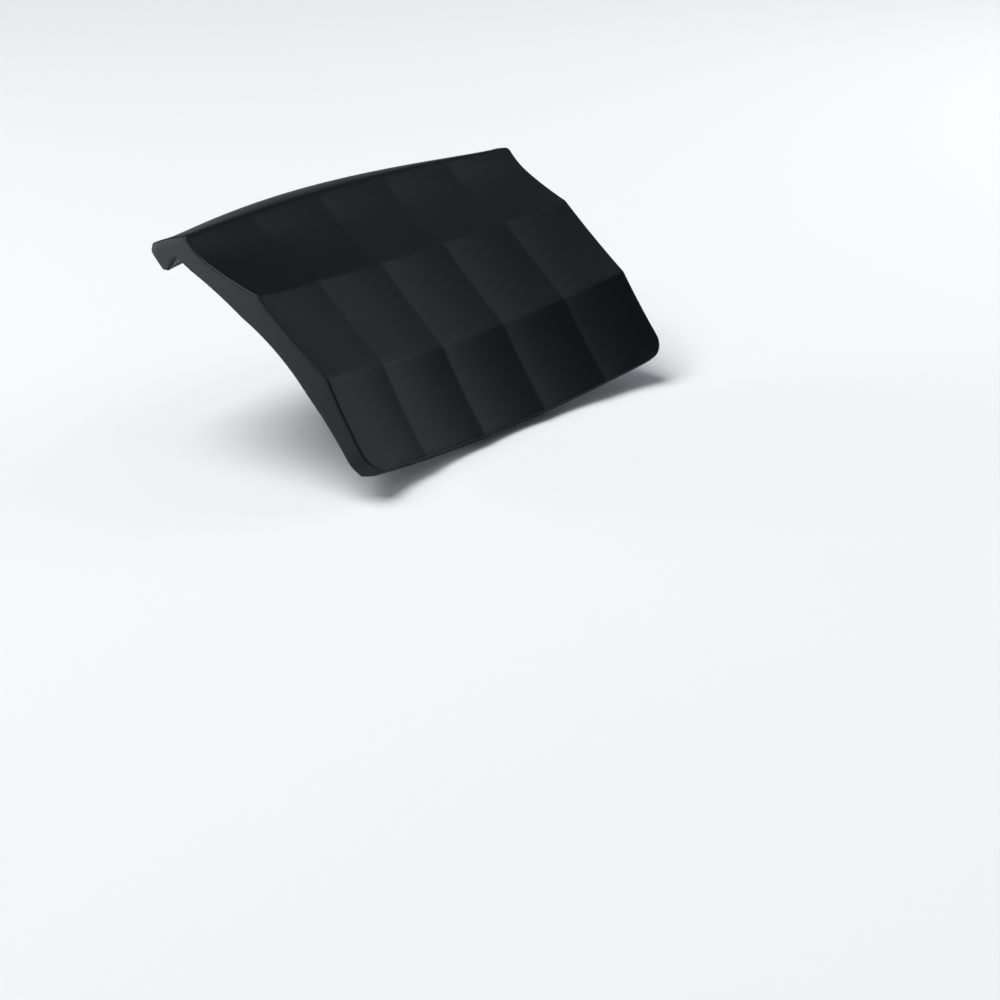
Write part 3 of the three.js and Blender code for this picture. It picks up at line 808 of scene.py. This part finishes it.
coverSkin = {
    "name": "satinPolyurethaneSkin",
    "color": (0.0038, 0.0043, 0.0056), "variedColor": (0.005, 0.0056, 0.0072),
    "roughness": (0.4, 0.47), "cloudScale": 38, "grainSize": 0.0006, "grainHeight": 0.00002,
    "metallic": 0, "ior": 1.5, "specularLevel": 0.22, "transmission": 0,
}
foamFinish = {
    "name": "openCellFoam",
    "color": (0.02, 0.021, 0.022), "variedColor": (0.04, 0.041, 0.043),
    "roughness": (0.9, 1.0), "cloudScale": 60, "grainSize": 0.0012, "grainHeight": 0.0003,
    "metallic": 0, "ior": 1.45, "specularLevel": 0.3, "transmission": 0,
}
socketFinish = {
    "name": "mouldedNylon",
    "color": (0.036, 0.039, 0.043), "variedColor": (0.046, 0.049, 0.054),
    "roughness": (0.5, 0.6), "cloudScale": 90, "grainSize": 0.0004, "grainHeight": 0.00001,
    "metallic": 0, "ior": 1.5, "specularLevel": 0.5, "transmission": 0,
}
steelFinish = {
    "name": "brushedSteelStrip",
    "color": (0.46, 0.47, 0.48), "variedColor": (0.53, 0.535, 0.54),
    "roughness": (0.28, 0.42), "cloudScale": 70, "grainSize": 0.0003, "grainHeight": 0.000004,
    "metallic": 1, "ior": 1.5, "specularLevel": 0.5, "transmission": 0,
}
vinylFinish = {
    "name": "smokyVinyl",
    "color": (0.2, 0.23, 0.26), "variedColor": (0.24, 0.27, 0.3),
    "roughness": (0.16, 0.24), "cloudScale": 50, "grainSize": 0.002, "grainHeight": 0.00001,
    "metallic": 0, "ior": 1.5, "specularLevel": 0.5, "transmission": 0.55,
}


noiseDetail = {"cloud": 5, "grain": 3}


# A finish with slow variation in tone and gloss and a fine moulded grain
def makeFinish(finish):
    material = bpy.data.materials.new(finish["name"])
    material.use_nodes = True
    nodes = material.node_tree.nodes
    links = material.node_tree.links
    shader = nodes["Principled BSDF"]
    shader.inputs["Metallic"].default_value = finish["metallic"]
    shader.inputs["IOR"].default_value = finish["ior"]
    shader.inputs["Specular IOR Level"].default_value = finish["specularLevel"]
    shader.inputs["Transmission Weight"].default_value = finish["transmission"]
    place = nodes.new("ShaderNodeTexCoord")
    cloudy = nodes.new("ShaderNodeTexNoise")
    cloudy.inputs["Scale"].default_value = finish["cloudScale"]
    cloudy.inputs["Detail"].default_value = noiseDetail["cloud"]
    links.new(place.outputs["Object"], cloudy.inputs["Vector"])
    tone = nodes.new("ShaderNodeMix")
    tone.data_type = "RGBA"
    tone.inputs["A"].default_value = (*finish["color"], 1)
    tone.inputs["B"].default_value = (*finish["variedColor"], 1)
    links.new(cloudy.outputs["Fac"], tone.inputs["Factor"])
    links.new(tone.outputs["Result"], shader.inputs["Base Color"])
    gloss = nodes.new("ShaderNodeMapRange")
    gloss.inputs["To Min"].default_value = finish["roughness"][0]
    gloss.inputs["To Max"].default_value = finish["roughness"][1]
    links.new(cloudy.outputs["Fac"], gloss.inputs["Value"])
    links.new(gloss.outputs["Result"], shader.inputs["Roughness"])
    grain = nodes.new("ShaderNodeTexNoise")
    grain.inputs["Scale"].default_value = 1 / finish["grainSize"]
    grain.inputs["Detail"].default_value = noiseDetail["grain"]
    links.new(place.outputs["Object"], grain.inputs["Vector"])
    bump = nodes.new("ShaderNodeBump")
    bump.inputs["Strength"].default_value = 1
    bump.inputs["Distance"].default_value = finish["grainHeight"]
    links.new(grain.outputs["Fac"], bump.inputs["Height"])
    links.new(bump.outputs["Normal"], shader.inputs["Normal"])
    return material


def dress(piece, material, slot, *nodes):
    piece.data.materials.clear()
    piece.data.materials.append(material)
    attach(piece, "root")
    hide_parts(*nodes)


skinMaterial = makeFinish(coverSkin)
foamMaterial = makeFinish(foamFinish)
socketMaterial = makeFinish(socketFinish)
steelMaterial = makeFinish(steelFinish)
vinylMaterial = makeFinish(vinylFinish)
dress(coverPiece, skinMaterial, "cover_skin", "tiled_cover")
dress(backSkin, skinMaterial, "cover_skin", "back_cover")
dress(foamPiece, foamMaterial, "foam", "foam_core")
for side in ("left", "right"):
    dress(socketPieces[side], socketMaterial, "socket_plastic", f"cup_socket_{side}")
    dress(cupPieces[side], vinylMaterial, "cup_vinyl", f"suction_cup_{side}")
    strap = frame["nodes"][f"hook_strap_{side}"]
    for place in range(len(strap.material_slots)):
        strap.material_slots[place].material = steelMaterial
print("materials given")

# Lamps stand round the pad: bearing from the pad's right, height in degrees, size in metres.
# The sun makes the floor even, the softboxes on the right give the tiles their gradients, the low
# ones on the left light the side band by the hook, and the edge box lights its upper edge.
lampAim = (0, -0.07, -0.05)
softSun = {"bearing": 122, "height": 65, "spread": 43, "strength": 2.62}
softboxes = {
    "rightSoftbox": {"bearing": -10, "height": 30, "size": (1.2, 1.6), "power": 4.3},
    "rightCoreSoftbox": {"bearing": -22, "height": 24, "size": (0.8, 0.8), "power": 1.8},
    "frontTopSoftbox": {"bearing": -50, "height": 74, "size": (0.62, 0.62), "power": 1},
    "edgeSoftbox": {"bearing": 160, "height": 50, "size": (0.4, 0.35), "power": 3},
    "leftSoftbox": {"bearing": 136, "height": 4, "size": (0.6, 0.42), "power": 12},
    "rearLeftSoftbox": {"bearing": 112, "height": 6, "size": (0.6, 0.46), "power": 2.8},
}
softboxStand = {"distance": 1.8, "color": (0.91, 0.97, 1.09)}


def hangLamp(name, data, lamp, distance):
    made = bpy.data.objects.new(name, data)
    turn = math.radians(lamp["bearing"])
    tilt = math.radians(lamp["height"])
    outward = Vector((math.cos(tilt) * math.cos(turn), math.cos(tilt) * math.sin(turn), math.sin(tilt)))
    made.location = Vector(lampAim) + outward * distance
    made.rotation_euler = (-outward).to_track_quat("-Z", "Y").to_euler()
    bpy.context.scene.collection.objects.link(made)


def makeSoftbox(name, box):
    data = bpy.data.lights.new(name, "AREA")
    data.shape = "RECTANGLE"
    data.size = box["size"][0]
    data.size_y = box["size"][1]
    data.energy = box["power"]
    data.color = softboxStand["color"]
    hangLamp(name, data, box, softboxStand["distance"])


def makeSoftSun():
    data = bpy.data.lights.new("softSun", "SUN")
    data.energy = softSun["strength"]
    data.angle = math.radians(softSun["spread"])
    hangLamp("softSun", data, softSun, softboxStand["distance"])


makeSoftSun()
for boxName, box in softboxes.items():
    makeSoftbox(boxName, box)

studio = {
    "worldLevel": 0.06, "floorHalf": 40, "floorGap": 0.0005,
    "floorColor": (0.91, 0.91, 0.92), "floorRoughness": 0.9, "floorSpecular": 0.1,
}


def makeStudio():
    world = bpy.data.worlds.new("studioWorld")
    world.use_nodes = True
    backdrop = world.node_tree.nodes["Background"]
    backdrop.inputs["Color"].default_value = (1, 1, 1, 1)
    backdrop.inputs["Strength"].default_value = studio["worldLevel"]
    bpy.context.scene.world = world
    half = studio["floorHalf"]
    level = cadBox[0].z - studio["floorGap"]
    corners = [(-half, -half, level), (half, -half, level), (half, half, level), (-half, half, level)]
    floor = makeObject("floor", corners, [(0, 1, 2, 3)])
    material = bpy.data.materials.new("paleFloor")
    material.use_nodes = True
    nodes = material.node_tree.nodes
    links = material.node_tree.links
    shader = nodes["Principled BSDF"]
    shader.inputs["Base Color"].default_value = (*studio["floorColor"], 1)
    shader.inputs["Roughness"].default_value = studio["floorRoughness"]
    shader.inputs["Specular IOR Level"].default_value = studio["floorSpecular"]
    # From below the floor is clear, so that the underside can be looked at
    side = nodes.new("ShaderNodeNewGeometry")
    clear = nodes.new("ShaderNodeBsdfTransparent")
    both = nodes.new("ShaderNodeMixShader")
    links.new(side.outputs["Backfacing"], both.inputs["Fac"])
    links.new(shader.outputs["BSDF"], both.inputs[1])
    links.new(clear.outputs["BSDF"], both.inputs[2])
    links.new(both.outputs["Shader"], nodes["Material Output"].inputs["Surface"])
    floor.data.materials.append(material)


makeStudio()
bpy.context.scene.view_settings.view_transform = "Standard"
print("studio made")
